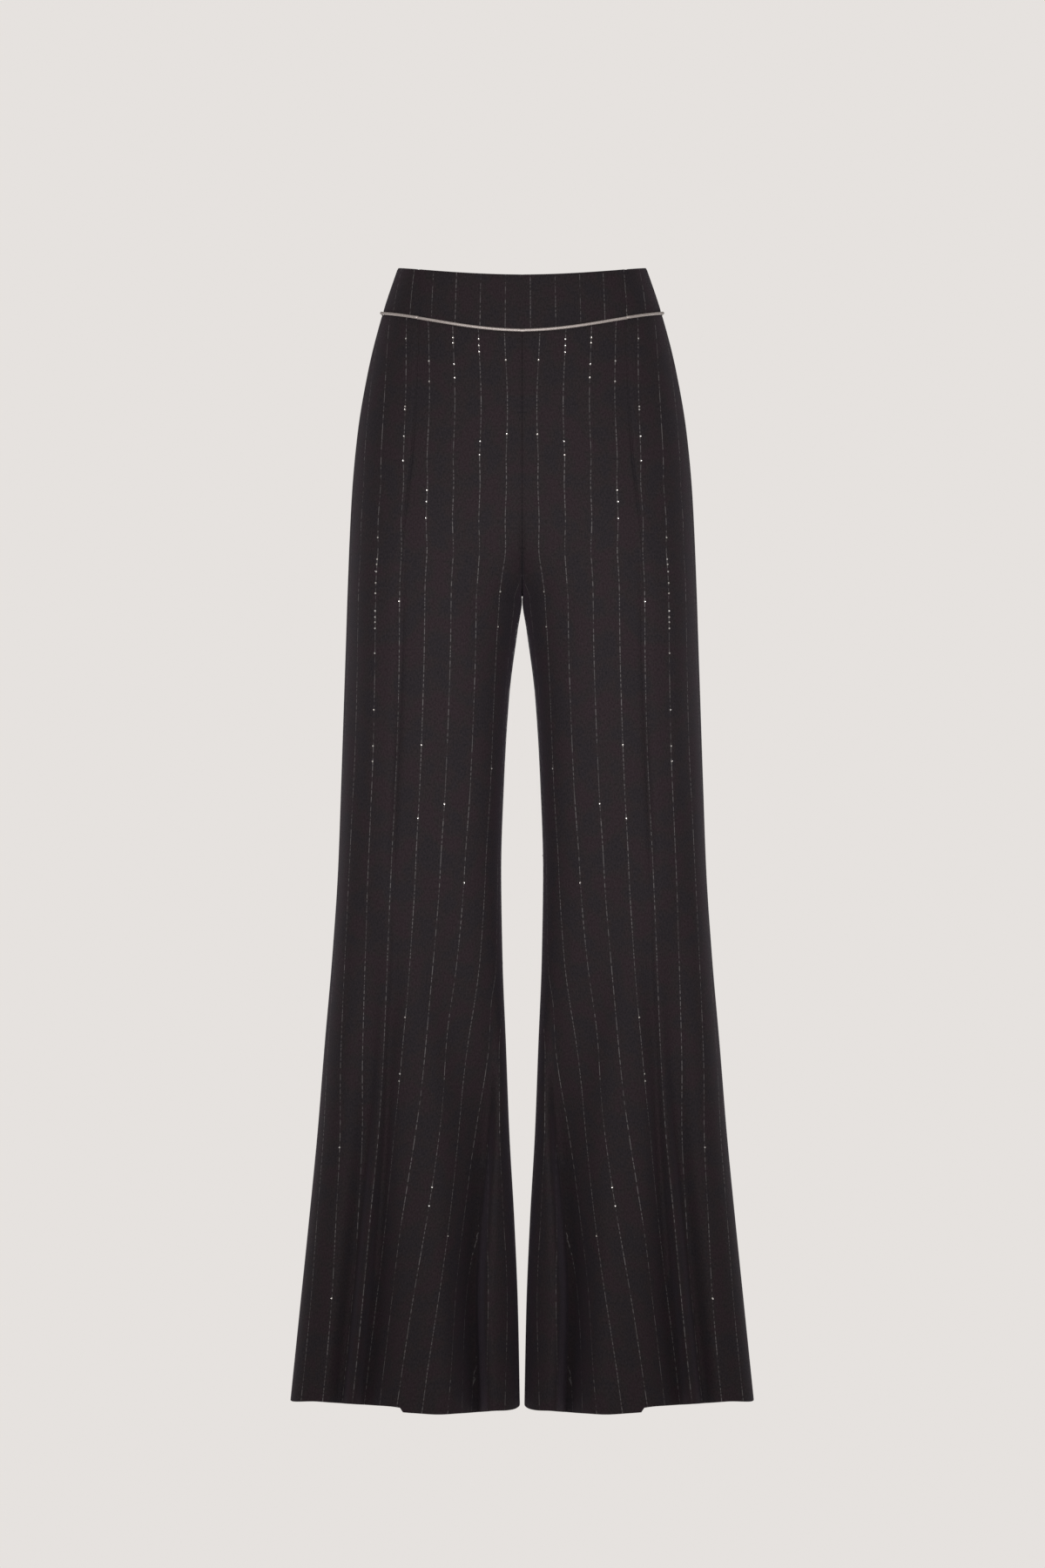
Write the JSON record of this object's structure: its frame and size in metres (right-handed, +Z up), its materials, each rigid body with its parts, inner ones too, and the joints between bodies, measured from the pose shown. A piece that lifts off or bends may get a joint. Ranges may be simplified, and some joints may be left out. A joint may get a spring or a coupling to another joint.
{
  "type": "flared trousers",
  "caption": "High-waisted trousers flared from the knee, hollow as worn, with a shaped waistband, piped waist seam and a concealed zip at the centre back.",
  "frame": {"origin": "middle of the waist opening, half way up the waistband at the side seams, where the wearer's waist holds the garment", "axes": "+X to the wearer's left, -Y to the front, +Z up"},
  "size_m": [0.4576, 0.2164, 1.1283],
  "materials": {
    "suiting": "soft matte twill with a fine dashed pale stripe and a few small sequins",
    "piping": "beaded cord, slightly glossy",
    "zip_tape": "matte woven tape",
    "zip_metal": "satin dark metal"
  },
  "bodies": {
    "garment": {"front_left": "suiting", "front_right": "suiting", "back_left": "suiting", "back_right": "suiting", "waistband_front": "suiting", "waistband_back_left": "suiting", "waistband_back_right": "suiting", "piping_front": "piping", "piping_back_left": "piping", "piping_back_right": "piping", "zip_tape": "zip_tape", "zip_slider": "zip_metal"},
    "zip_pull": {"zip_pull": "zip_metal"}
  },
  "joints": [
    {"name": "pull_turn", "type": "hinge", "parent": "garment", "child": "zip_pull", "pos_m": [0, 0.09031, 0.01679], "axis": [1, 0, 0], "range_deg": [0, 150]}
  ]
}
